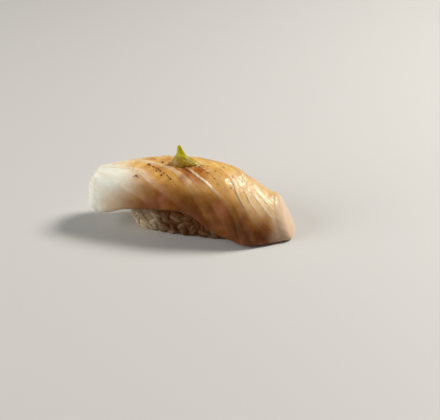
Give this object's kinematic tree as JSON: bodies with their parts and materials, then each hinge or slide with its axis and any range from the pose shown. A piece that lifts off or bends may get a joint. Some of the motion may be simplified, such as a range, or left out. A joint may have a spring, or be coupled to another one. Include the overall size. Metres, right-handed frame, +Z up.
{
  "type": "black cod nigiri",
  "caption": "Black cod nigiri: a thick seared slice of white fish draped lengthwise over a pressed block of sushi rice, with a small peaked dab of green paste on its crown.",
  "frame": {"origin": "centre of the bounding box's bottom face, on the plane that the rice rests on", "axes": "+X along the slice towards the end that droops to the table, +Z up, -Y is the front"},
  "size_m": [0.0808, 0.0304, 0.0352],
  "materials": {
    "rice": "moist cooked rice, translucent, lightly stained by glaze",
    "fish": "seared and glazed flaky fish, wet gloss over soft translucent flesh",
    "paste": "moist coarse green citrus-pepper paste"
  },
  "bodies": {
    "root": {"rice_block": "rice", "fish_slice": "fish", "paste_dab": "paste"}
  },
  "joints": []
}
